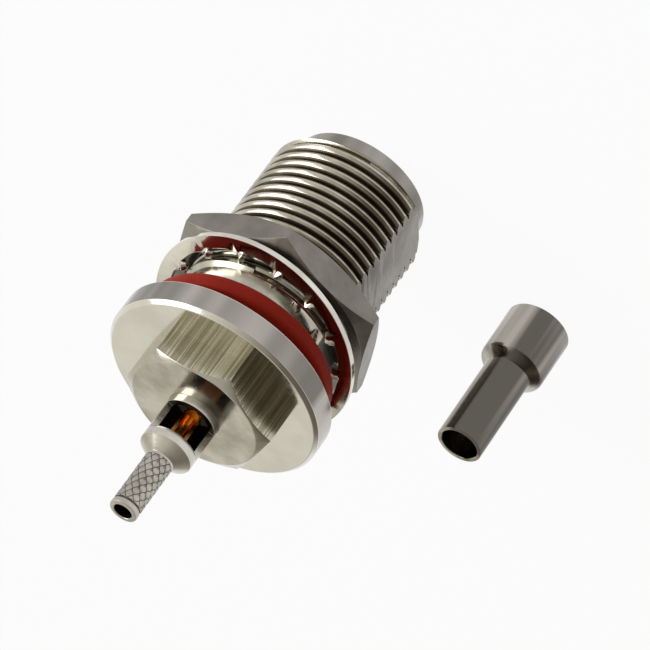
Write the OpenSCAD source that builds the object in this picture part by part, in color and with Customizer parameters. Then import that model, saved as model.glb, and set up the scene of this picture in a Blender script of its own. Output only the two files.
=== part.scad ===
// Type N bulkhead jack for a thin crimped coaxial cable, with its crimp ferrule.
// The connector stands on its mouth with the cable end up. The ferrule stands beside it.
// Origin: centre of the mouth's rim. +Z runs from the mouth to the cable end.
// +X is the side of the flat that keeps the connector from turning in its panel.

/* [Thread and panel] */
// Major diameter of the 5/8-24 coupling thread
thread_d = 15.8; // [15.4:0.05:15.9]
// Thread pitch, 24 turns to the inch
thread_pitch = 1.0583; // [0.8:0.0001:1.3]
// Depth of the thread's grooves
thread_depth = 0.5; // [0.3:0.05:0.6]
// Distance from the axis to the flat of the D section
key_flat = 6.9; // [6.7:0.05:7.4]
// Diameter of the smooth neck between thread and flange
neck_d = 15; // [14.6:0.1:15.4]
// Height at which the neck starts, above the mouth
neck_z = 18.3; // [17.5:0.1:20]

/* [Mouth] */
// Diameter of the smooth collar at the mouth
collar_d = 13.2; // [12.6:0.1:14]
// Length of the collar
collar_h = 1.7; // [1:0.1:2.2]
// Bore that guides the plug's outer contact
mouth_bore_d = 8.08; // [8.03:0.01:8.13]
// Wider bore at the rim
mouth_flare_d = 8.8; // [8.5:0.1:9.4]
// Depth of the plane that the plug's outer contact butts against
ref_z = 9.1; // [9:0.02:9.2]

/* [Flange and rear hexagon] */
// Diameter of the flange
flange_d = 21.1; // [20:0.1:22]
// Height of the flange's panel side above the mouth
flange_z = 23.6; // [22.5:0.1:25]
// Thickness of the flange
flange_t = 2.75; // [2:0.05:3.5]
// Width across the flats of the rear hexagon
rear_hex_af = 12.7; // [12:0.1:14]
// Length of the rear hexagon
rear_hex_h = 3.05; // [2.5:0.05:4]

/* [Crimp tail] */
// Diameter of the barrel that holds the solder window
barrel_d = 5.06; // [4.8:0.02:5.1]
// Bore of the barrel
barrel_bore = 3.9; // [3.6:0.1:4.1]
// Length of the barrel that stands out of the hexagon
barrel_h = 4.7; // [4.2:0.1:5.5]
// Length of the solder window
window_h = 3.1; // [2:0.1:3.3]
// Distance from the axis to the window's milled face
window_cut = 0.5; // [0.2:0.1:1]
// Direction that the window faces, in degrees from +X
window_az = 65; // [0:5:180]
// Length of the cone between barrel and stem
cone_h = 0.9; // [0.6:0.1:1.2]
// Diameter of the knurled stem under the braid
stem_d = 2.7; // [2.5:0.05:3]
// Bore of the stem, for the cable's insulation
stem_bore = 1.76; // [1.6:0.02:1.9]
// Length of the stem
stem_h = 6.2; // [5:0.1:8]

/* [Contact and insulators] */
// Diameter of the slotted socket
socket_d = 3.04; // [3:0.01:3.1]
// Bore of the socket, for the plug's pin
socket_bore = 1.65; // [1.6:0.01:1.7]
// Depth of the socket's tip behind the mouth
socket_z = 5.2; // [4.8:0.1:5.4]
// Bore of the retaining bush, the outer conductor's inside
bush_bore = 7; // [6.8:0.1:7.2]
// Length of the retaining bush
bush_h = 3.5; // [3:0.1:4]
// Length of the front insulator
front_ins_h = 5; // [4:0.1:6]
// Diameter of the contact inside the front insulator
contact_mid_d = 2.46; // [2.2:0.02:2.6]
// Diameter of the rear insulator
rear_ins_d = 6; // [5.6:0.1:6.4]
// Diameter of the contact inside the rear insulator
contact_rear_d = 1.6; // [1.4:0.1:2]
// Outside diameter of the solder cup
cup_d = 1.7; // [1.6:0.05:2.1]
// Bore of the solder cup
cup_bore = 1.1; // [1:0.02:1.3]

/* [Seal, lock washer and nut] */
// Outside diameter of the silicone seal
gasket_d = 18.6; // [17.6:0.1:19.6]
// Thickness of the seal
gasket_t = 1.6; // [1.2:0.1:2]
// Angle by which the loose seal sits askew
gasket_tilt = 4; // [0:0.5:5]
// Outside diameter of the lock washer
washer_d = 20.6; // [20:0.1:21]
// Thickness of the washer's sheet
washer_t = 0.55; // [0.4:0.05:0.6]
// Number of teeth inside the washer
teeth = 14; // [10:1:16]
// Angle by which each tooth is twisted out of the sheet
tooth_twist = 32; // [20:1:40]
// Angle by which the loose washer leans on the thread
washer_tilt = 10; // [0:0.5:10]
// Height of the washer's middle above the mouth
washer_z = 19.05; // [18.9:0.05:19.2]
// Width across the flats of the nut
nut_af = 19.1; // [19:0.05:19.4]
// Thickness of the nut
nut_h = 2.7; // [2.4:0.1:2.8]
// Height of the nut's lower face above the mouth
nut_z = 14.1; // [10:0.1:14.1]
// Turn of the nut's corners, in degrees from +X
nut_turn = 19.5; // [0:0.5:60]

/* [Crimp ferrule] */
// Outside diameter of the narrow tube
ferrule_d = 4.37; // [4.2:0.01:4.6]
// Bore of the narrow tube
ferrule_bore = 3.56; // [3.4:0.02:3.8]
// Outside diameter of the wide tube
ferrule_wide_d = 6.2; // [6:0.1:6.6]
// Bore of the wide tube, which closes the barrel's window
ferrule_wide_bore = 5.3; // [5.2:0.1:5.6]
// Length of the ferrule
ferrule_h = 15; // [13:0.5:17]
// Length of the wide tube
ferrule_wide_h = 5; // [4.5:0.1:6]
// Place of the ferrule beside the connector, along X
ferrule_x = 18.2; // [17:0.1:24]
// Place of the ferrule beside the connector, along Y
ferrule_y = -9.7; // [-14:0.1:-8]

/* [Hidden] */
$fn = 96;
eps = 0.02;
thread_r = thread_d / 2;
groove_half = thread_depth * tan(30) + 0.03;
first_groove_z = 2.51;
groove_count = floor((neck_z - first_groove_z - groove_half) / thread_pitch) + 1;
hex_face_z = flange_z + flange_t + rear_hex_h;
hex_wall = 3;
chamber_z = hex_face_z - hex_wall;
bush_top = ref_z + bush_h;
front_ins_top = bush_top + front_ins_h;
barrel_top = hex_face_z + barrel_h;
window_z = hex_face_z + 0.8;
stem_z = barrel_top + cone_h;
tail_top = stem_z + stem_h;
cup_z = window_z - 1;
cup_top = window_z + window_h + 0.1;
ring_inner_r = 8.75;
tooth_tip_r = 8.3;
tooth_w = 1.7;

// A hexagon with 30 degree chamfers on its corners; the chamfer circle is face_r at each chamfered end
module chamfered_hex(af, h, face_r, both_ends) {
  corner_r = af / sqrt(3);
  rise = (corner_r - face_r) * tan(30);
  big = corner_r + 1;
  intersection() {
    cylinder(r = corner_r, h = h, $fn = 6);
    rotate_extrude()
      polygon(both_ends
        ? [[0, 0], [face_r, 0], [big, (big - face_r) * tan(30)],
           [big, h - (big - face_r) * tan(30)], [face_r, h], [0, h]]
        : [[0, 0], [big, 0], [big, h - (big - face_r) * tan(30)], [face_r, h], [0, h]]);
  }
}

// One groove of the thread, as a ring with 30 degree flanks
module thread_groove() {
  rotate_extrude()
    polygon([[thread_r - thread_depth, -0.03], [thread_r + 0.1, -groove_half - 0.06],
             [thread_r + 0.1, groove_half + 0.06], [thread_r - thread_depth, 0.03]]);
}

// The turned body: collar, D-shaped thread, neck, flange and rear hexagon
module main_body() {
  color([0.80, 0.78, 0.72])
  difference() {
    union() {
      difference() {
        rotate_extrude()
          polygon([[0, 0], [collar_d / 2 - 0.3, 0], [collar_d / 2, 0.3], [collar_d / 2, collar_h],
                   [thread_r - 0.8, collar_h], [thread_r, collar_h + 0.7], [thread_r, neck_z],
                   [neck_d / 2, neck_z + 0.35], [neck_d / 2, flange_z + eps], [0, flange_z + eps]]);
        for (i = [0 : groove_count - 1])
          translate([0, 0, first_groove_z + i * thread_pitch]) thread_groove();
        translate([key_flat, -thread_d / 2, -1]) cube([5, thread_d, flange_z + 1]);
      }
      translate([0, 0, flange_z])
        rotate_extrude()
          polygon([[0, 0], [flange_d / 2 - 0.2, 0], [flange_d / 2, 0.2], [flange_d / 2, flange_t - 0.35],
                   [flange_d / 2 - 0.35, flange_t], [0, flange_t]]);
      translate([0, 0, flange_z + flange_t - eps])
        chamfered_hex(rear_hex_af, rear_hex_h + eps, 6.2, false);
    }
    rotate_extrude()
      polygon([[0, -1], [mouth_flare_d / 2 + 1.2, -1], [mouth_flare_d / 2, 0.2], [mouth_flare_d / 2, 1.8],
               [mouth_bore_d / 2, 3.2], [mouth_bore_d / 2, front_ins_top], [rear_ins_d / 2, front_ins_top],
               [rear_ins_d / 2, chamber_z], [barrel_d / 2, chamber_z], [barrel_d / 2, hex_face_z + 1],
               [0, hex_face_z + 1]]);
  }
}

// The tail pressed into the hexagon: windowed barrel, cone and stem
module crimp_tail() {
  color([0.78, 0.76, 0.70])
  difference() {
    rotate_extrude()
      polygon([[0, chamber_z], [barrel_d / 2, chamber_z], [barrel_d / 2, barrel_top],
               [barrel_d / 2 - 0.12, barrel_top + 0.1], [stem_d / 2, stem_z], [stem_d / 2, tail_top - 0.15],
               [stem_d / 2 - 0.15, tail_top], [0, tail_top]]);
    translate([0, 0, chamber_z - 1])
      cylinder(d = barrel_bore, h = window_z + window_h + 0.25 - chamber_z + 1);
    translate([0, 0, chamber_z])
      cylinder(d = stem_bore, h = tail_top);
    rotate([0, 0, window_az])
      translate([window_cut, -barrel_d, window_z])
        cube([barrel_d, 2 * barrel_d, window_h]);
  }
}

// The bush pressed into the mouth: its front face is the reference plane
module retaining_bush() {
  color([0.80, 0.78, 0.72])
  translate([0, 0, ref_z])
    difference() {
      cylinder(d = mouth_bore_d, h = bush_h);
      translate([0, 0, -1]) cylinder(d = bush_bore, h = bush_h + 2);
    }
}

module front_insulator() {
  color("white")
  translate([0, 0, bush_top])
    difference() {
      cylinder(d = mouth_bore_d, h = front_ins_h);
      translate([0, 0, -1]) cylinder(d = contact_mid_d, h = front_ins_h + 2);
    }
}

// The rear insulator, with a nose inside the tail's barrel
module rear_insulator() {
  nose_top = hex_face_z - 0.5;
  color("white")
  difference() {
    union() {
      translate([0, 0, front_ins_top]) cylinder(d = rear_ins_d, h = chamber_z - front_ins_top);
      translate([0, 0, chamber_z - eps]) cylinder(d = barrel_bore, h = nose_top - chamber_z + eps);
    }
    translate([0, 0, front_ins_top - 1]) cylinder(d = contact_rear_d, h = nose_top);
  }
}

// The gold-plated contact: slotted socket, steps for the insulators and solder cup
module center_contact() {
  slot_h = 4;
  slot_w = 0.3;
  color([0.85, 0.62, 0.25])
  difference() {
    rotate_extrude()
      polygon([[0, socket_z], [socket_d / 2 - 0.2, socket_z], [socket_d / 2, socket_z + 0.2],
               [socket_d / 2, bush_top], [contact_mid_d / 2, bush_top], [contact_mid_d / 2, front_ins_top],
               [contact_rear_d / 2, front_ins_top], [contact_rear_d / 2, cup_z - 0.1],
               [cup_d / 2, cup_z], [cup_d / 2, cup_top], [0, cup_top]]);
    translate([0, 0, socket_z - 1]) cylinder(d = socket_bore, h = 6);
    for (a = [45, 135])
      rotate([0, 0, a])
        translate([-socket_d, -slot_w / 2, socket_z - 1])
          cube([2 * socket_d, slot_w, slot_h + 1]);
    translate([0, 0, cup_z + 0.65]) cylinder(d = cup_bore, h = 10);
    rotate([0, 0, window_az])
      translate([0.15, 0, cup_z + 0.35 + cup_d / 2]) {
        translate([0, -cup_d, 0]) cube([cup_d, 2 * cup_d, 10]);
        rotate([0, 90, 0]) cylinder(d = cup_d, h = cup_d);
      }
  }
}

// The silicone seal, lying askew against the flange
module flange_gasket() {
  corner = 0.45;
  inner_r = neck_d / 2 + 0.2;
  color([0.62, 0.13, 0.07])
  rotate([0, 0, 53])
    translate([-gasket_d / 2, 0, flange_z])
      rotate([0, gasket_tilt, 0])
        translate([gasket_d / 2, 0, -gasket_t])
          rotate_extrude()
            polygon([[inner_r, 0], [gasket_d / 2 - corner, 0], [gasket_d / 2, corner],
                     [gasket_d / 2, gasket_t - corner], [gasket_d / 2 - corner, gasket_t], [inner_r, gasket_t]]);
}

// One inward tooth, twisted about its own middle line
module washer_tooth() {
  rotate([tooth_twist, 0, 0])
    translate([0, 0, -washer_t / 2])
      linear_extrude(washer_t)
        polygon([[tooth_tip_r, -tooth_w / 2 + 0.2], [ring_inner_r + 0.25, -tooth_w / 2],
                 [ring_inner_r + 0.25, tooth_w / 2], [tooth_tip_r, tooth_w / 2 - 0.2]]);
}

// The internal-tooth lock washer, leaning on the thread
module lock_washer() {
  color([0.82, 0.80, 0.74])
  translate([0, 0, washer_z])
    rotate([0, 0, -72.5])
      rotate([0, -washer_tilt, 0])
        rotate([0, 0, 72.5]) {
          difference() {
            translate([0, 0, -washer_t / 2]) cylinder(d = washer_d, h = washer_t);
            translate([0, 0, -washer_t]) cylinder(r = ring_inner_r, h = 2 * washer_t);
          }
          for (i = [0 : teeth - 1])
            rotate([0, 0, 51.5 + i * 360 / teeth]) washer_tooth();
        }
}

// The panel nut: its smooth bore clears the crest of the thread
module hex_nut() {
  bore_r = thread_r + 0.08;
  sink = 0.5;
  color([0.72, 0.70, 0.65])
  translate([0, 0, nut_z])
    difference() {
      rotate([0, 0, nut_turn]) chamfered_hex(nut_af, nut_h, nut_af / 2 - 0.05, true);
      rotate_extrude()
        polygon([[0, -1], [bore_r + sink + 1, -1], [bore_r, sink], [bore_r, nut_h - sink],
                 [bore_r + sink + 1, nut_h + 1], [0, nut_h + 1]]);
    }
}

// The crimp ferrule, standing on its wide end
module crimp_ferrule() {
  wall = (ferrule_wide_d - ferrule_wide_bore) / 2;
  cone = 0.75;
  narrow_r = ferrule_d / 2;
  wide_r = ferrule_wide_d / 2;
  color([0.62, 0.60, 0.55])
  translate([ferrule_x, ferrule_y, 0])
    difference() {
      rotate_extrude()
        polygon([[0, 0], [wide_r - 0.1, 0], [wide_r, 0.1], [wide_r, ferrule_wide_h], [wide_r - 0.2, ferrule_wide_h + 0.45],
                 [narrow_r, ferrule_wide_h + cone + 0.25], [narrow_r, ferrule_h - 0.08],
                 [narrow_r - 0.08, ferrule_h], [0, ferrule_h]]);
      translate([0, 0, -1]) cylinder(d = ferrule_wide_bore, h = ferrule_wide_h + 1);
      translate([0, 0, -1]) cylinder(d = ferrule_bore, h = ferrule_h + 2);
    }
}

main_body();
crimp_tail();
retaining_bush();
front_insulator();
rear_insulator();
center_contact();
flange_gasket();
lock_washer();
hex_nut();
crimp_ferrule();
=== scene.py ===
# %% [markdown]
# # A type N bulkhead jack and its crimp ferrule
# The connector stands on its mouth with the cable end up, and its loose ferrule stands beside it.
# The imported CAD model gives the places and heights. This script dresses it: turned and milled
# metal gets its edges, thread and knurl, and each surface gets the finish of the real one.

# %% Load the frame
import math

import bmesh
import bpy
from mathutils import Matrix, Vector


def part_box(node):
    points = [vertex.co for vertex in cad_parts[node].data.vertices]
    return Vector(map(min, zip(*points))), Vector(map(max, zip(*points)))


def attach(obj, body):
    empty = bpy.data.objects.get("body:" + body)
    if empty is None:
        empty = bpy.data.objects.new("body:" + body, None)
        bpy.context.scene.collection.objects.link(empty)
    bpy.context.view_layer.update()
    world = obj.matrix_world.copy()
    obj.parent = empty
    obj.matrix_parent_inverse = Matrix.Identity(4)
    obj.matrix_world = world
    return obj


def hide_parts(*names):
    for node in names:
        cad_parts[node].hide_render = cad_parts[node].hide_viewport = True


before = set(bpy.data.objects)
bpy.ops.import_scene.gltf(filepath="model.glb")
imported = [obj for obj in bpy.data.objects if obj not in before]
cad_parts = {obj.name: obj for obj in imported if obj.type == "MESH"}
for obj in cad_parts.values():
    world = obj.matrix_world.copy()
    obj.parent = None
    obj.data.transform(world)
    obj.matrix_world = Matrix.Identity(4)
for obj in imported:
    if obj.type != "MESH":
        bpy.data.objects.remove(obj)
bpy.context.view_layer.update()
mm = 0.001

# %% [markdown]
# ## Camera
# The camera looks down at the cable end from about 32 degrees above the table, from far away
# with a long lens, so that the round parts look like true ellipses. It is rolled, so the
# connector's axis runs from the lower left to the upper right.

# %% Camera
camera_data = bpy.data.cameras.new("camera")
camera_data.lens = 234.81
camera_data.sensor_width = 36
camera_data.clip_start = 0.01
camera_data.clip_end = 20
camera = bpy.data.objects.new("camera", camera_data)
bpy.context.scene.collection.objects.link(camera)
view_back = Vector((0.33087, 0.78231, 0.52776))
view_up = Vector((-0.37120, 0.62206, -0.68938))
view_right = view_up.cross(view_back)
turn = Matrix((view_right, view_up, view_back)).transposed().to_4x4()
camera.matrix_world = Matrix.Translation(Vector((128.37, 291.47, 212.05)) * mm) @ turn
bpy.context.scene.camera = camera
bpy.context.scene.view_settings.view_transform = "Standard"
print("camera distance, mm:", round(camera.location.length / mm))

# %% [markdown]
# ## Helpers for turning on a lathe
# Most of this connector came off a lathe. A turned piece starts as a circle, and the circle is
# extruded and scaled from one point of the outline to the next, round to its start.

# %% Selecting and closing a piece
def clear_selection():
    """Goes back to object mode, with nothing selected."""
    if bpy.context.object and bpy.context.object.mode != "OBJECT":
        bpy.ops.object.mode_set(mode="OBJECT")
    bpy.ops.object.select_all(action="DESELECT")


def choose(active, *others):
    """Selects these pieces alone, and makes the first one active."""
    clear_selection()
    for piece in (active, *others):
        piece.select_set(True)
    bpy.context.view_layer.objects.active = active


def close_piece(name, smooth_angle=30):
    """Leaves edit mode, puts the object's place into its mesh, and shades the piece."""
    bpy.ops.object.mode_set(mode="OBJECT")
    piece = bpy.context.object
    piece.name = name
    piece.data.name = name
    bpy.ops.object.transform_apply(location=True, rotation=True, scale=True)
    bpy.ops.object.shade_smooth_by_angle(angle=math.radians(smooth_angle))
    return piece


# %% A piece from the lathe
def turned(name, outline, sides=160):
    """A closed solid of revolution about Z from (radius, height) points in millimetres."""
    clear_selection()
    first_r, first_z = outline[0]
    bpy.ops.mesh.primitive_circle_add(vertices=sides, radius=first_r * mm, location=(0, 0, first_z * mm))
    bpy.ops.object.mode_set(mode="EDIT")
    bpy.ops.mesh.select_all(action="SELECT")
    ends = outline[1:] + outline[:1]
    for (r0, z0), (r1, z1) in zip(outline, ends):
        bpy.ops.mesh.extrude_edges_move(TRANSFORM_OT_translate={"value": (0, 0, (z1 - z0) * mm)})
        if r1 != r0:
            bpy.ops.transform.resize(value=(r1 / r0, r1 / r0, 1), center_override=(0, 0, z1 * mm))
    bpy.ops.mesh.select_all(action="SELECT")
    bpy.ops.mesh.remove_doubles(threshold=0.002 * mm)
    bpy.ops.mesh.normals_make_consistent(inside=False)
    return close_piece(name)


# %% [markdown]
# ## Helpers for cutting and finishing
# A milled or threaded form is a blank with a tool's shape taken out of it, and that is what a
# Boolean modifier does. It can leave hairline gaps and needle-thin faces, so these are merged
# away after each cut. A small bevel then catches the light as a deburred edge does.

# %% Modifiers, cuts and soft edges
def apply_modifier(piece, kind, **settings):
    """Adds one modifier, sets it and applies it."""
    choose(piece)
    bpy.ops.object.modifier_add(type=kind)
    modifier = piece.modifiers[-1]
    for key, value in settings.items():
        setattr(modifier, key, value)
    bpy.ops.object.modifier_apply(modifier=modifier.name)


def cut(piece, tool, operation="DIFFERENCE"):
    """Cuts the piece with a tool, throws the tool away, and merges the cut's hairline gaps."""
    apply_modifier(piece, "BOOLEAN", operation=operation, object=tool, solver="EXACT")
    bpy.data.objects.remove(tool)
    bpy.ops.object.mode_set(mode="EDIT")
    bpy.ops.mesh.select_all(action="SELECT")
    bpy.ops.mesh.remove_doubles(threshold=0.001 * mm)
    bpy.ops.mesh.dissolve_degenerate(threshold=0.0005 * mm)
    bpy.ops.object.mode_set(mode="OBJECT")
    return piece


def soften(piece, width, angle=28, segments=2):
    """A small bevel on every sharp edge, as a file or a deburring tool leaves it."""
    apply_modifier(
        piece, "BEVEL", width=width * mm, segments=segments, limit_method="ANGLE",
        angle_limit=math.radians(angle), use_clamp_overlap=True, harden_normals=False)
    bpy.ops.object.shade_smooth_by_angle(angle=math.radians(35))
    apply_modifier(piece, "WEIGHTED_NORMAL", mode="FACE_AREA", weight=100, keep_sharp=True)


# %% A box for milling
def box_tool(name, half_size, middle, facing=0):
    """A box of these half sizes about its middle, in millimetres, turned about Z by an angle."""
    clear_selection()
    bpy.ops.mesh.primitive_cube_add(size=2 * mm)
    bpy.ops.object.mode_set(mode="EDIT")
    bpy.ops.mesh.select_all(action="SELECT")
    bpy.ops.transform.resize(value=half_size, center_override=(0, 0, 0))
    bpy.ops.transform.translate(value=[place * mm for place in middle])
    if facing:
        # With no window open, rotate turns the other way, so the angle is negated.
        bpy.ops.transform.rotate(value=math.radians(-facing), orient_axis="Z", center_override=(0, 0, 0))
    return close_piece(name)


# %% The finish of a piece, and what it stands for
def dress(piece, material, body, slot, *nodes):
    """Gives the finish, puts the piece under its CAD body's empty, and hides the CAD nodes that it stands
    for.
    """
    piece.data.materials.clear()
    piece.data.materials.append(material)
    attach(piece, body)
    if nodes:
        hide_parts(*nodes)
    print(piece.name, len(piece.data.polygons), "faces")


# %% A second finish on some faces of a piece
def second_finish(piece, material, chosen):
    """Gives the faces for which chosen(face) is true another material."""
    piece.data.materials.append(material)
    index = len(piece.data.materials) - 1
    count = 0
    for face in piece.data.polygons:
        if chosen(face):
            face.material_index = index
            count += 1
    print(piece.name, "has", count, "faces in", material.name)


# %% Heights taken from the frame, in millimetres
def heights(name):
    """The lowest and the highest point of a CAD node."""
    low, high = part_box(name)
    return low[2] / mm, high[2] / mm


body_high = heights("main_body")[1]
tail_high = heights("crimp_tail")[1]
ferrule_high = heights("crimp_ferrule")[1]
nut_low, nut_high = heights("hex_nut")
print("body to", round(body_high, 2), "tail to", round(tail_high, 2), "ferrule to", round(ferrule_high, 2))
print("nut from", round(nut_low, 2), "to", round(nut_high, 2))

# %% [markdown]
# ## Metal finishes
# Bright nickel is a plated metal: it is a warm grey, and it mirrors the room. Real turned metal
# is never quite smooth, so each finish puts fine marks into roughness and bump. The marks are
# noise, and stretching gives them a direction. A large factor along Z packs the noise into rings
# round the axis, as a lathe leaves them, and a small one draws it out into lines along the axis,
# as a cutter leaves them. The room is white, so the colours are darker than clean nickel, which
# keeps the metal grey.

# %% Material helpers
def new_material(name):
    """A material with its node tree and its Principled shader."""
    material = bpy.data.materials.new(name)
    material.use_nodes = True
    tree = material.node_tree
    shader = tree.nodes["Principled BSDF"]
    return material, tree, shader


def node(tree, kind, inputs=None, **settings):
    """One shader node with its settings and its unlinked input values."""
    made = tree.nodes.new(kind)
    for key, value in settings.items():
        setattr(made, key, value)
    for key, value in (inputs or {}).items():
        made.inputs[key].default_value = value
    return made


def marks(tree, scale, stretch=(1, 1, 1), detail=3.0):
    """Noise on Object coordinates; a small stretch along an axis draws the marks out that way."""
    coordinates = node(tree, "ShaderNodeTexCoord")
    mapping = node(tree, "ShaderNodeMapping", {"Scale": stretch})
    noise = node(tree, "ShaderNodeTexNoise", {"Scale": scale, "Detail": detail, "Roughness": 0.6})
    tree.links.new(coordinates.outputs["Object"], mapping.inputs["Vector"])
    tree.links.new(mapping.outputs["Vector"], noise.inputs["Vector"])
    return noise.outputs["Fac"]


def spread(tree, value, low, high, out_low, out_high):
    """Maps a value from one range to another, and stops at its ends."""
    mapped = node(tree, "ShaderNodeMapRange", {
        "From Min": low, "From Max": high, "To Min": out_low, "To Max": out_high})
    tree.links.new(value, mapped.inputs["Value"])
    return mapped.outputs["Result"]


def two_tone(tree, value, dark, light, low=0.35, high=0.65):
    """Mixes two colours by a value."""
    ramp = node(tree, "ShaderNodeValToRGB")
    ramp.color_ramp.elements[0].position = low
    ramp.color_ramp.elements[0].color = (*dark, 1)
    ramp.color_ramp.elements[1].position = high
    ramp.color_ramp.elements[1].color = (*light, 1)
    tree.links.new(value, ramp.inputs["Fac"])
    return ramp.outputs["Color"]


def bumps(tree, shader, *layers):
    """Chains (height, strength, distance in millimetres) layers into the shader's normal."""
    last = None
    for height, strength, distance in layers:
        bump = node(tree, "ShaderNodeBump", {"Strength": strength, "Distance": distance * mm})
        tree.links.new(height, bump.inputs["Height"])
        if last:
            tree.links.new(last, bump.inputs["Normal"])
        last = bump.outputs["Normal"]
    tree.links.new(last, shader.inputs["Normal"])


def nickel(name, dark, light, roughness, stretch, scale, bump_mm, strength=0.3, streaks=None):
    """Plated metal with one kind of mark, and a cloudy colour, or a streaky one if streaks is set."""
    material, tree, shader = new_material(name)
    shader.inputs["Metallic"].default_value = 1.0
    tool = marks(tree, scale, stretch, 4.0)
    if streaks:
        # The broad streaks of the rim and the ferrule are painted reflection bands; the fine ones of the
        # hexagon are cutter lines.
        colour = two_tone(tree, marks(tree, streaks, stretch, 2.0), dark, light, 0.44, 0.6)
    else:
        colour = two_tone(tree, marks(tree, 260.0), dark, light)
    tree.links.new(colour, shader.inputs["Base Color"])
    tree.links.new(spread(tree, tool, 0.3, 0.7, *roughness), shader.inputs["Roughness"])
    bumps(tree, shader, (tool, strength, bump_mm))
    return material


# %% Metal from the lathe, with rings round the axis
rings = (0.3, 0.3, 14)
turned_nickel = nickel(
    "turned_nickel", (0.40, 0.37, 0.32), (0.62, 0.59, 0.53), (0.12, 0.24), rings, 900.0, 0.002)
thread_nickel = nickel(
    "thread_nickel", (0.34, 0.31, 0.25), (0.60, 0.57, 0.50), (0.12, 0.24), rings, 900.0, 0.003)

# %% Metal with no direction, or with lines along the axis, and the rim's painted shade and painted reflection streaks
even = (1, 1, 1)
mirror_nickel = nickel(
    "mirror_nickel", (0.66, 0.64, 0.58), (0.74, 0.72, 0.66), (0.08, 0.16), even, 1500.0, 0.0008)
# Painted shade and painted reflection: the rim and the collar are made darker than the faces, with broad
# streaks along the axis for dark bands of reflected room. The higher roughness is the rim's own.
rim_nickel_painted_shade = nickel(
    "rim_nickel_painted_shade", (0.20, 0.185, 0.165), (0.46, 0.43, 0.39), (0.14, 0.28), (1.4, 1.4, 0.1), 900.0, 0.002,
    streaks=110.0)
milled_nickel = nickel(
    "milled_nickel", (0.29, 0.26, 0.18), (0.56, 0.52, 0.41), (0.12, 0.34), (9, 9, 0.12), 900.0, 0.005,
    strength=0.5, streaks=520.0)

# %% The finishes of the loose pieces and the knurl, painted reflection bands on the ferrule, and painted shade for the bores, thread roots and knurl grooves
brushed_nickel = nickel(
    "brushed_nickel", (0.19, 0.175, 0.155), (0.27, 0.25, 0.22), (0.28, 0.42), (0.8, 0.8, 14), 900.0, 0.002)
# Painted reflection: the ferrule's broad dark and light streaks along its axis are bands of reflected room;
# the fine marks in roughness and bump are the drawn tube's own.
drawn_nickel_painted_reflection = nickel(
    "drawn_nickel_painted_reflection", (0.12, 0.11, 0.095), (0.42, 0.39, 0.34), (0.12, 0.24), (2.2, 2.2, 0.1), 1000.0, 0.003,
    strength=0.4, streaks=150.0)
knurled_nickel = nickel(
    "knurled_nickel", (0.30, 0.28, 0.25), (0.54, 0.51, 0.46), (0.2, 0.4), even, 3000.0, 0.006, strength=0.5)
spring_steel = nickel(
    "plated_spring_steel", (0.56, 0.53, 0.47), (0.76, 0.74, 0.68), (0.06, 0.14), even, 700.0, 0.004)
# Painted shade: this near-black finish goes into the bores, the thread roots and the knurl grooves, where
# shade falls.
painted_shade_nickel = nickel(
    "painted_shade_nickel", (0.06, 0.05, 0.035), (0.12, 0.10, 0.07), (0.3, 0.45), (0.3, 0.3, 8), 900.0, 0.003)

# %% [markdown]
# ## Gold, silicone and PTFE
# The contact is gold plated, the seal is soft red silicone, and the insulators are PTFE, a white
# and slightly waxy plastic. Each has its own noise: worn patches in the gold, a fine grain on
# the silicone, and lathe rings on the PTFE, which lets a little light in under its surface.

# %% Gold
gold, tree, shader = new_material("gold_plate")
shader.inputs["Metallic"].default_value = 1.0
gold_wear = marks(tree, 900.0)
tree.links.new(two_tone(tree, gold_wear, (0.72, 0.30, 0.07), (0.92, 0.50, 0.14)), shader.inputs["Base Color"])
tree.links.new(spread(tree, gold_wear, 0.3, 0.7, 0.14, 0.28), shader.inputs["Roughness"])
bumps(tree, shader, (gold_wear, 0.2, 0.003))

# %% Silicone
silicone, tree, shader = new_material("red_silicone")
silicone_grain = marks(tree, 2500.0)
silicone_colour = two_tone(tree, marks(tree, 160.0), (0.30, 0.014, 0.005), (0.36, 0.020, 0.007))
tree.links.new(silicone_colour, shader.inputs["Base Color"])
tree.links.new(spread(tree, silicone_grain, 0.3, 0.7, 0.42, 0.58), shader.inputs["Roughness"])
shader.inputs["Specular IOR Level"].default_value = 0.12
bumps(tree, shader, (silicone_grain, 0.25, 0.01))

# %% PTFE
ptfe, tree, shader = new_material("white_ptfe")
ptfe_lathe = marks(tree, 900.0, (0.3, 0.3, 10))
ptfe_colour = two_tone(tree, marks(tree, 200.0), (0.74, 0.73, 0.70), (0.82, 0.81, 0.78))
tree.links.new(ptfe_colour, shader.inputs["Base Color"])
tree.links.new(spread(tree, ptfe_lathe, 0.3, 0.7, 0.35, 0.5), shader.inputs["Roughness"])
shader.inputs["Subsurface Weight"].default_value = 0.2
shader.inputs["Subsurface Radius"].default_value = (0.0006, 0.0006, 0.0006)
bumps(tree, shader, (ptfe_lathe, 0.2, 0.004))
print(len(bpy.data.materials), "materials")

# %% [markdown]
# ## Threaded shank
# The real body is one bar of brass. Its front part is turned, then the thread is cut with a
# V-shaped tool that follows a helix, and its D flat is milled last, which leaves notched crests.
# Here the steps are the same: the tool's path is a small profile swept by the Screw modifier,
# which a Boolean takes out of the blank, and a box then takes off the flat. The profile widens
# towards its top, because crests that were cut and then plated are rounded and not sharp.

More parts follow.
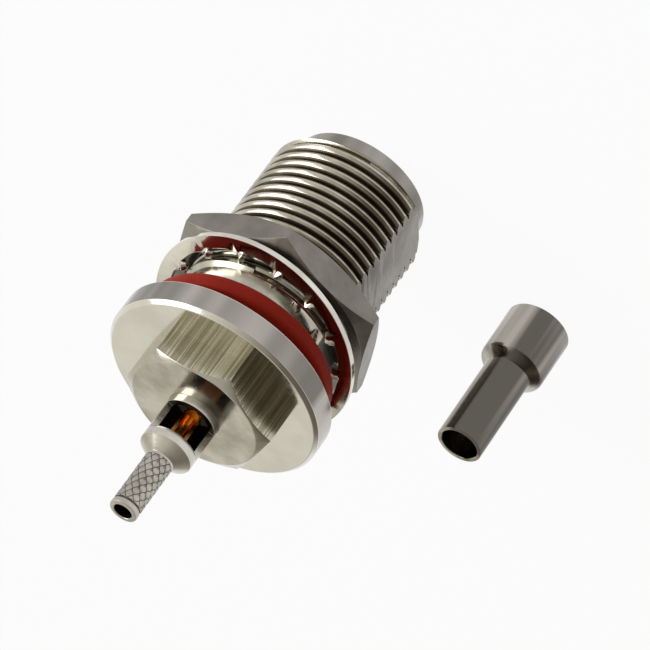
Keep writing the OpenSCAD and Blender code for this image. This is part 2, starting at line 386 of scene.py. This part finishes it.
# %% Shank blank
neck_top = body_high - 5.8
collar_r, crest_r, neck_r, mouth_bore_r, cable_bore_r = 6.6, 7.9, 7.5, 4.04, 3.0
collar_high, thread_high, bore_end = 1.7, 18.3, 17.6
shank_sides = 144
shank = turned("threaded_shank", [
    (6.3, 0.0), (6.52, 0.09), (collar_r, 0.3), (collar_r, collar_high), (7.1, collar_high), (crest_r, 2.4),
    (crest_r, thread_high), (neck_r, 18.65), (neck_r, neck_top + 0.1), (cable_bore_r, neck_top + 0.1),
    (cable_bore_r, bore_end), (mouth_bore_r, bore_end), (mouth_bore_r, 3.2), (4.4, 1.8), (4.4, 0.2),
    (4.6, 0.0)], shank_sides)


# %% A tool that follows a helix
def helical_tool(name, profile, start_z, turns, lead, steps):
    """A closed (radius, height) profile in the XZ plane, swept about Z along a helix."""
    clear_selection()
    bpy.ops.mesh.primitive_circle_add(vertices=len(profile), radius=mm)
    tool = bpy.context.object
    tool.name = name
    bpy.ops.object.mode_set(mode="EDIT")
    mesh = bmesh.from_edit_mesh(tool.data)
    for vertex, (r, z) in zip(mesh.verts, profile):
        vertex.co = (r * mm, 0, (start_z + z) * mm)
    bmesh.update_edit_mesh(tool.data)
    bpy.ops.object.mode_set(mode="OBJECT")
    apply_modifier(
        tool, "SCREW", angle=2 * math.pi * turns, screw_offset=lead * turns * mm, iterations=1, steps=steps,
        render_steps=steps, axis="Z", use_merge_vertices=False, use_smooth_shade=False)
    choose(tool)
    bpy.ops.object.mode_set(mode="EDIT")
    bpy.ops.mesh.select_all(action="SELECT")
    bpy.ops.mesh.fill_holes(sides=len(profile))
    bpy.ops.mesh.normals_make_consistent(inside=False)
    bpy.ops.object.mode_set(mode="OBJECT")
    return tool


# %% Cut the thread
thread_pitch, thread_turns = 1.0583, 16.25
groove_side = [(7.4, 0.04), (7.6, 0.13), (7.74, 0.235), (7.83, 0.34), (7.91, 0.5), (8.1, 0.515)]
groove = [(r, -z) for r, z in groove_side] + groove_side[::-1]
thread_tool = helical_tool(
    "thread_tool", groove, start_z=0.196 + thread_pitch, turns=thread_turns, lead=thread_pitch,
    steps=round(thread_turns * shank_sides))
cut(shank, thread_tool)

# %% Mill the flat
flat_x, tool_half = 6.9, 2.0
cut(shank, box_tool("flat_tool", (tool_half, 9.0, 13.0), (flat_x + tool_half, 0, 9.5)))
choose(shank)
bpy.ops.object.shade_smooth_by_angle(angle=math.radians(25))
dress(shank, thread_nickel, "connector", "nickel", "main_body")


# %% Painted shade in the thread's roots and on the collar, and the finish of the flat
def in_thread_root(face):
    x, radius, height = face.center.x, face.center.xy.length, face.center.z
    return 7.2 * mm < radius < 7.7 * mm and 2.6 * mm < height < thread_high * mm and x < 6.85 * mm


def on_collar(face):
    return 6.0 * mm < face.center.xy.length < 6.7 * mm and face.center.z < 1.8 * mm


def on_flat(face):
    return face.normal.x > 0.99 and 6.88 * mm < face.center.x < 6.92 * mm


# Painted shade: the thread roots get the near-black finish.
second_finish(shank, painted_shade_nickel, in_thread_root)
# Painted shade and painted reflection streaks on the collar.
second_finish(shank, rim_nickel_painted_shade, on_collar)
second_finish(shank, brushed_nickel, on_flat)

# %% [markdown]
# ## Flange and rear hexagon
# The flange is a turned disc with a bright chamfer at its rear edge, and its rim is duller than
# its faces; the rim is also painted darker, with broad streaks along the axis, which are painted
# shade and painted reflection bands. The hexagon behind it is milled, so it starts as a six-sided
# prism, and a turned shape with a 30 degree cone takes off its corners. Its sides keep the lines of
# the cutter and its end those of the lathe, so it gets two finishes.

# %% Flange
flange_r, flange_top = 10.55, body_high - 3.05
flange = turned("rear_flange", [
    (cable_bore_r, neck_top), (10.35, neck_top), (flange_r, neck_top + 0.2), (flange_r, flange_top - 0.35),
    (10.2, flange_top), (cable_bore_r, flange_top)], 192)
soften(flange, 0.06, segments=3)
dress(flange, mirror_nickel, "connector", "nickel", "main_body")
# Painted shade and painted reflection streaks on the flange rim.
second_finish(flange, rim_nickel_painted_shade, lambda face: abs(face.normal.z) < 0.2)


# %% A hexagon with turned corners
def hexagon(name, across_flats, low, high, face_r, bore, first_corner=0.0, both_ends=False):
    """A six-sided prism, with its corners turned down to a circle at one end or both."""
    corner_r = across_flats / math.sqrt(3)
    outside_r = corner_r + 0.3
    clear_selection()
    bpy.ops.mesh.primitive_cylinder_add(
        vertices=6, radius=corner_r * mm, depth=(high - low + 1) * mm, location=(0, 0, (low + high) / 2 * mm),
        rotation=(0, 0, math.radians(first_corner - 30)))
    prism = close_piece(name)
    rise = (outside_r - face_r) * math.tan(math.radians(30))
    front = [(face_r, low), (outside_r, low + rise)] if both_ends else [(outside_r, low)]
    outline = front + [(outside_r, high - rise), (face_r, high), (bore, high), (bore, low)]
    return cut(prism, turned("corner_tool", outline, 144), "INTERSECT")


# %% Rear hexagon
barrel_r = 2.53
rear_hexagon = hexagon(
    "rear_hexagon", across_flats=12.7, low=flange_top - 0.05, high=body_high, face_r=6.2, bore=barrel_r)
soften(rear_hexagon, 0.05)
dress(rear_hexagon, milled_nickel, "connector", "nickel", "main_body")
second_finish(rear_hexagon, turned_nickel, lambda face: face.normal.z > 0.3)

# %% [markdown]
# ## Panel nut
# The nut is cut from hexagonal bar, chamfered on both faces and brushed. It is the same prism
# with both ends turned down; the countersinks of its bore are a turned tool of their own.

# %% Nut
nut_bore = 7.98
nut = hexagon(
    "panel_nut", across_flats=19.1, low=nut_low, high=nut_high, face_r=9.5, bore=nut_bore - 0.4,
    first_corner=19.5, both_ends=True)
sink_tool = turned("sink_tool", [
    (6.0, nut_low - 1), (nut_bore + 1.5, nut_low - 1), (nut_bore, nut_low + 0.5), (nut_bore, nut_high - 0.5),
    (nut_bore + 1.5, nut_high + 1), (6.0, nut_high + 1)], 144)
cut(nut, sink_tool)
soften(nut, 0.07)
dress(nut, brushed_nickel, "nut", "nickel", "hex_nut")

# %% [markdown]
# ## Lock washer
# An internal-tooth washer is stamped from spring steel, and each tooth is twisted so that its
# edges bite. Only one fourteenth is modelled: an edge is spun into a piece of the ring, and a
# few of its inner edges are extruded inwards and turned about the tooth's middle line.

# %% One tooth with its part of the ring
washer_mid, washer_thick = 19.05, 0.55
ring_inner, ring_outer = 8.9, 10.3
tooth_count = 14
tooth_step = 360 / tooth_count
clear_selection()
bpy.ops.mesh.primitive_plane_add(size=mm, location=(0, 0, 0))
washer = bpy.context.object
bpy.ops.object.mode_set(mode="EDIT")
mesh = bmesh.from_edit_mesh(washer.data)
mesh.verts.ensure_lookup_table()
bmesh.ops.delete(mesh, geom=mesh.verts[2:], context="VERTS")
start_angle = math.radians(-tooth_step / 2)
for vertex, radius in zip(mesh.verts, (ring_inner, ring_outer)):
    vertex.co = (radius * mm * math.cos(start_angle), radius * mm * math.sin(start_angle), 0)
bmesh.update_edit_mesh(washer.data)
bpy.ops.mesh.select_all(action="SELECT")
bpy.ops.mesh.spin(steps=16, angle=math.radians(-tooth_step), center=(0, 0, 0), axis=(0, 0, 1))


# %% Extrude and twist the tooth
def select_inner_edges(mesh, radius, half_width):
    """Selects the edges that lie at one radius and within the tooth's width."""
    for edge in mesh.edges:
        ends = [vertex.co for vertex in edge.verts]
        at_radius = all(abs(end.xy.length - radius * mm) < 0.02 * mm for end in ends)
        edge.select_set(at_radius and all(abs(end.y) < half_width * mm and end.x > 0 for end in ends))
    mesh.select_flush_mode()


bpy.ops.mesh.select_mode(type="EDGE")
bpy.ops.mesh.select_all(action="DESELECT")
mesh = bmesh.from_edit_mesh(washer.data)
spun_ends = sorted({round(math.degrees(math.atan2(v.co.y, v.co.x)), 1) for v in mesh.verts})
print("ring piece spans", spun_ends[0], "to", spun_ends[-1], "degrees")
select_inner_edges(mesh, ring_inner, 0.95)
bmesh.update_edit_mesh(washer.data)
for inward, narrow, twist in ((0.12, 1.0, -12), (0.26, 0.96, -24), (0.26, 0.94, -12), (0.12, 0.72, 0)):
    bpy.ops.mesh.extrude_edges_move(TRANSFORM_OT_translate={"value": (-inward * mm, 0, 0)})
    bpy.ops.transform.resize(value=(1, narrow, 1), center_override=(0, 0, 0))
    bpy.ops.transform.rotate(value=math.radians(-twist), orient_axis="X", center_override=(8.5 * mm, 0, 0))
bpy.ops.object.mode_set(mode="OBJECT")
apply_modifier(washer, "SOLIDIFY", thickness=washer_thick * mm, offset=0)

# %% Fourteen teeth, joined
first_tooth_at = 51.5
teeth = [washer]
for index in range(1, tooth_count):
    tooth = washer.copy()
    tooth.data = washer.data.copy()
    bpy.context.scene.collection.objects.link(tooth)
    teeth.append(tooth)
for index, tooth in enumerate(teeth):
    tooth.data.transform(Matrix.Rotation(math.radians(first_tooth_at + index * tooth_step), 4, "Z"))
choose(*teeth)
bpy.ops.object.join()
bpy.ops.object.mode_set(mode="EDIT")
bpy.ops.mesh.select_mode(type="FACE")
bpy.ops.mesh.select_all(action="SELECT")
bpy.ops.mesh.remove_doubles(threshold=0.01 * mm)
bpy.ops.mesh.select_all(action="DESELECT")
bpy.ops.mesh.select_interior_faces()
bpy.ops.mesh.delete(type="FACE")
bpy.ops.mesh.select_all(action="SELECT")
bpy.ops.mesh.normals_make_consistent(inside=False)
close_piece("toothed_washer")
soften(washer, 0.06, 40)

# %% Lean the washer on the thread
washer_lean, lean_towards = 10, 72.5
washer.data.transform(
    Matrix.Translation((0, 0, washer_mid * mm)) @ Matrix.Rotation(math.radians(-lean_towards), 4, "Z")
    @ Matrix.Rotation(math.radians(-washer_lean), 4, "Y")
    @ Matrix.Rotation(math.radians(lean_towards), 4, "Z"))
dress(washer, spring_steel, "washer", "washer_steel", "lock_washer")

# %% [markdown]
# ## Silicone seal
# The seal is a moulded ring with rounded corners. It is soft and lies a little askew against the
# flange, as it does when the nut isn't tight.

# %% Seal
seal_r, seal_bore, seal_t, corner = 9.3, 7.7, 1.6, 0.45
seal_outline = [(seal_bore, 0.05), (7.75, 0.0)]
for middle_z, first in ((corner, -90), (seal_t - corner, 0)):
    for step in range(7):
        angle = math.radians(first + 15 * step)
        seal_outline.append((seal_r - corner + corner * math.cos(angle), middle_z + corner * math.sin(angle)))
seal_outline += [(7.75, seal_t), (seal_bore, seal_t - 0.05)]
seal = turned("silicone_seal", seal_outline, 144)

# %% Set the seal askew, hinged on one side at the flange
seal_lean, hinge_at = 4, 53
seal.data.transform(
    Matrix.Rotation(math.radians(hinge_at), 4, "Z") @ Matrix.Translation((-seal_r * mm, 0, neck_top * mm))
    @ Matrix.Rotation(math.radians(seal_lean), 4, "Y") @ Matrix.Translation((seal_r * mm, 0, -seal_t * mm))
    @ Matrix.Rotation(math.radians(-hinge_at), 4, "Z"))
dress(seal, silicone, "connector", "silicone", "flange_gasket")

# %% [markdown]
# ## Crimp tail
# The tail is a thin tube pressed into the hexagon. A window is milled in its barrel, so that the
# cable's wire can be soldered to the contact, and a cone leads to the stem. The stem is knurled,
# so that the crimped braid can't slip. Two crossing sets of Boolean grooves would meet in
# countless slivers, so the diamonds that stand between the grooves are made instead: tall
# panels are poked, their old edges are dissolved, and each diamond left is inset and raised.

# %% Barrel, cone and window
window_low, window_high, window_facing = body_high + 0.8, body_high + 3.9, 65
barrel_low, barrel_top = body_high - 1.0, body_high + 4.7
stem_low = barrel_top + 0.9
barrel_bore, stem_bore = 1.95, 0.88
tail = turned("crimp_tail_barrel", [
    (barrel_r, barrel_low), (barrel_r, barrel_top), (2.5, barrel_top + 0.07), (2.41, barrel_top + 0.13),
    (1.38, stem_low), (1.3, stem_low + 0.05), (1.3, stem_low + 0.3), (stem_bore, stem_low + 0.3),
    (stem_bore, window_high + 0.25), (barrel_bore, window_high + 0.25), (barrel_bore, barrel_low)], 96)
window_tool = box_tool(
    "window_tool", (2.0, 4.0, (window_high - window_low) / 2), (2.5, 0, (window_low + window_high) / 2),
    window_facing)
cut(tail, window_tool)
soften(tail, 0.025, 40)
dress(tail, turned_nickel, "connector", "nickel", "crimp_tail")
# Painted shade: the barrel's bore, seen through the window, gets the near-black finish.
second_finish(
    tail, painted_shade_nickel, lambda face: face.center.xy.length < 1.97 * mm and face.center.z < barrel_top * mm)

# %% Stem with its smooth end ring
stem_r = 1.24
stem = turned("knurled_stem", [
    (stem_r, stem_low), (stem_r, tail_high - 0.62), (1.34, tail_high - 0.52), (1.35, tail_high - 0.15),
    (1.3, tail_high - 0.04), (1.2, tail_high), (0.93, tail_high), (stem_bore, tail_high - 0.05),
    (stem_bore, stem_low)], 96)

# %% Knurl: a ring of tall panels
knurl_around, knurl_rows, row_height = 10, 5, 1.08
knurl_low, knurl_inner = stem_low + 0.12, 1.12
knurl_top = knurl_low + knurl_rows * row_height
panel_outline = [(stem_r, knurl_low + row * row_height) for row in range(knurl_rows + 1)]
knurl = turned("knurl", panel_outline + [(knurl_inner, knurl_top), (knurl_inner, knurl_low)], knurl_around)


def select_knurl_skin():
    """Selects the faces on the outside of the knurl, in edit mode."""
    bpy.ops.mesh.select_mode(type="FACE")
    bpy.ops.mesh.select_all(action="DESELECT")
    mesh = bmesh.from_edit_mesh(knurl.data)
    for face in mesh.faces:
        middle = face.calc_center_median()
        face.select_set(abs(face.normal.z) < 0.5 and middle.xy.length > 1.15 * mm)
    bmesh.update_edit_mesh(knurl.data)


# %% Poke the panels, and dissolve their old edges into diamonds
bpy.ops.object.mode_set(mode="EDIT")
select_knurl_skin()
bpy.ops.mesh.poke()
mesh = bmesh.from_edit_mesh(knurl.data)
centres = {vertex for vertex in mesh.verts if 1.15 * mm < vertex.co.xy.length < 1.22 * mm}
for vertex in centres:
    vertex.co.xy = vertex.co.xy.normalized() * stem_r * mm
bpy.ops.mesh.select_mode(type="EDGE")
bpy.ops.mesh.select_all(action="DESELECT")
for edge in mesh.edges:
    on_skin = all(len(face.verts) == 3 for face in edge.link_faces)
    edge.select_set(on_skin and not centres.intersection(edge.verts))
bmesh.update_edit_mesh(knurl.data)
bpy.ops.mesh.dissolve_edges(use_verts=False)

# %% Raise each diamond between its grooves, and join the knurl to the stem
select_knurl_skin()
bpy.ops.mesh.inset(thickness=0.035 * mm, depth=0.02 * mm, use_individual=True)
bpy.ops.mesh.inset(thickness=0.07 * mm, depth=0.08 * mm, use_individual=True)
bpy.ops.object.mode_set(mode="OBJECT")
print("knurl reaches radius", round(max(vertex.co.xy.length for vertex in knurl.data.vertices) / mm, 3))
choose(stem, knurl)
bpy.ops.object.join()
dress(stem, knurled_nickel, "connector", "nickel", "crimp_tail")


def in_bore_or_groove(face):
    radius, height = face.center.xy.length, face.center.z
    return radius < 0.9 * mm or (radius < 1.262 * mm and knurl_low * mm < height < knurl_top * mm)


# Painted shade: the stem's bore and the knurl's grooves get the near-black finish.
second_finish(stem, painted_shade_nickel, in_bore_or_groove)

# %% [markdown]
# ## Crimp ferrule
# The ferrule is drawn tube in two diameters. It slips over the cable, then over the braid on the
# stem. Its shoulder is rounded by the die, so the outline has a soft curve there.

# %% Ferrule
ferrule_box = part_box("crimp_ferrule")
ferrule_x = (ferrule_box[0][0] + ferrule_box[1][0]) / 2
ferrule_y = (ferrule_box[0][1] + ferrule_box[1][1]) / 2
wide_r, wide_bore, thin_r, thin_bore = 3.1, 2.65, 2.185, 1.78
ferrule = turned("crimp_sleeve", [
    (2.7, 0.0), (3.0, 0.0), (3.07, 0.03), (wide_r, 0.1), (wide_r, 5.0), (3.07, 5.17), (2.99, 5.32),
    (2.88, 5.44), (2.36, 5.85), (2.24, 5.97), (thin_r, 6.15), (thin_r, ferrule_high - 0.08),
    (2.16, ferrule_high - 0.02), (2.105, ferrule_high), (1.83, ferrule_high),
    (thin_bore, ferrule_high - 0.06), (thin_bore, 5.6), (1.85, 5.3), (wide_bore, 5.0),
    (wide_bore, 0.06)], 128)
ferrule.data.transform(Matrix.Translation((ferrule_x, ferrule_y, 0)))
# The ferrule's streaked finish is painted reflection.
dress(ferrule, drawn_nickel_painted_reflection, "ferrule", "ferrule_nickel", "crimp_ferrule")

# %% [markdown]
# ## Inner parts
# The bush, the insulators and the contact have their whole shape in the CAD model, so they stay
# and only get their finishes.

# %% CAD nodes that stay
kept_finishes = (
    ("retaining_bush", turned_nickel), ("front_insulator", ptfe), ("rear_insulator", ptfe),
    ("center_contact", gold))
for name, material in kept_finishes:
    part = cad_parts[name]
    part.data.materials.clear()
    part.data.materials.append(material)
print(len(kept_finishes), "CAD nodes keep their shape")

# %% [markdown]
# ## Floor, room and lamp
# The floor is plain and pale. It turns white for the rays that leave the camera, and also for
# the glossy and transmitted ones, so that the metal mirrors the same white floor that the eye
# sees. A small share stays ordinary paper, which keeps the shadow.

# %% The rays that see the background
def seen_rays(tree):
    """1 for camera, glossy and transmission rays, and 0 for those that only bring light."""
    rays = node(tree, "ShaderNodeLightPath")
    seen = rays.outputs["Is Camera Ray"]
    for kind in ("Is Glossy Ray", "Is Transmission Ray"):
        either = node(tree, "ShaderNodeMath", operation="MAXIMUM")
        tree.links.new(seen, either.inputs[0])
        tree.links.new(rays.outputs[kind], either.inputs[1])
        seen = either.outputs["Value"]
    return seen


# %% Floor
clear_selection()
bpy.ops.mesh.primitive_plane_add(size=1.6, location=(0, 0, 0))
floor = bpy.context.object
floor.name = "floor"
paper, tree, shader = new_material("floor_paper")
shader.inputs["Base Color"].default_value = (0.86, 0.86, 0.85, 1)
shader.inputs["Roughness"].default_value = 0.7
white = node(tree, "ShaderNodeEmission", {"Color": (1, 1, 1, 1), "Strength": 1.0})
mix = node(tree, "ShaderNodeMixShader")
tree.links.new(spread(tree, seen_rays(tree), 0, 1, 0, 0.94), mix.inputs["Fac"])
tree.links.new(shader.outputs["BSDF"], mix.inputs[1])
tree.links.new(white.outputs["Emission"], mix.inputs[2])
tree.links.new(mix.outputs["Shader"], tree.nodes["Material Output"].inputs["Surface"])
floor.data.materials.append(paper)

# %% [markdown]
# ## Room
# Metal has hardly any colour of its own: what it shows is the room. This is a plain studio,
# white down to the floor and round the horizon. Overhead it fades from the lit side on the
# left to the unlit side on the right, which gives turned edges and thread flanks their shape.
# Camera, glossy and transmission rays all see this same room.

# %% Room, and plain light for the rest
lit_side, unlit_side, fill = (0.92, 0.90, 0.82), (0.16, 0.14, 0.11), (0.3, 0.3, 0.298, 1)
world = bpy.data.worlds.new("room")
bpy.context.scene.world = world
world.use_nodes = True
room = world.node_tree
axes = node(room, "ShaderNodeSeparateXYZ")
room.links.new(node(room, "ShaderNodeTexCoord").outputs["Generated"], axes.inputs["Vector"])
across = spread(room, axes.outputs["X"], -0.5, 0.6, 0, 1)
overhead = two_tone(room, across, lit_side, unlit_side, 0.0, 1.0)
backdrop = node(room, "ShaderNodeMix", {"A": (1, 1, 1, 1)}, data_type="RGBA")
room.links.new(spread(room, axes.outputs["Z"], 0.0, 0.3, 0, 1), backdrop.inputs["Factor"])
room.links.new(overhead, backdrop.inputs["B"])
light = node(room, "ShaderNodeMix", {"A": fill}, data_type="RGBA")
room.links.new(seen_rays(room), light.inputs["Factor"])
room.links.new(backdrop.outputs["Result"], light.inputs["B"])
room.links.new(light.outputs["Result"], room.nodes["Background"].inputs["Color"])

# %% Lamp
def soft_lamp(name, place, size, power):
    """A large area lamp that looks at the connector."""
    data = bpy.data.lights.new(name, "AREA")
    data.shape = "RECTANGLE"
    data.size, data.size_y = size
    data.energy = power
    lamp = bpy.data.objects.new(name, data)
    bpy.context.scene.collection.objects.link(lamp)
    place = Vector(place)
    aim = (Vector((0, 0, 0.02)) - place).to_track_quat("-Z", "Y")
    lamp.matrix_world = Matrix.Translation(place) @ aim.to_matrix().to_4x4()


soft_lamp("left_lamp", (-0.42, 0.22, 0.3), (0.4, 0.4), 1.6)
